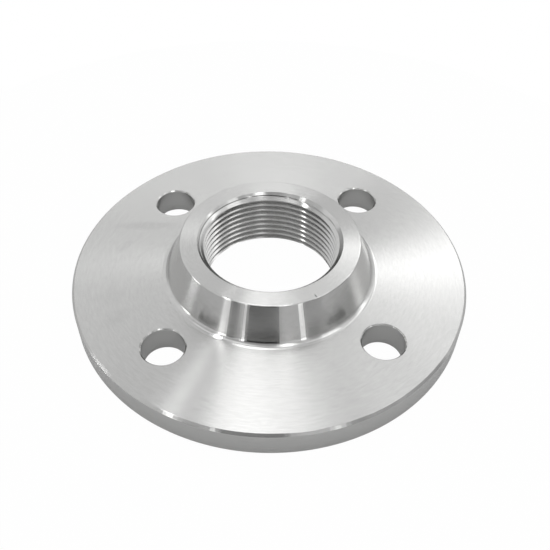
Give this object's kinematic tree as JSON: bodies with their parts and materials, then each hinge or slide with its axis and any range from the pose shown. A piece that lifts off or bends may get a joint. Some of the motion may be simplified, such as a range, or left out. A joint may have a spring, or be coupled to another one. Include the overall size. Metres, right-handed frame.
{
  "type": "threaded flange",
  "caption": "Round pipe flange with a short tapered hub, a female pipe thread through its middle and a ring of bolt holes in its plate.",
  "frame": {"origin": "centre of the flat gasket face on the plate's underside, on the thread's axis", "axes": "+Z along the thread's axis from the gasket face to the mouth of the hub; the bolt holes straddle +X and +Y"},
  "size_m": [0.135, 0.135, 0.0225],
  "materials": {
    "stainless_steel": "turned and fine-faced, with concentric tool marks"
  },
  "bodies": {
    "root": {"threaded_flange": "stainless_steel"}
  },
  "joints": []
}
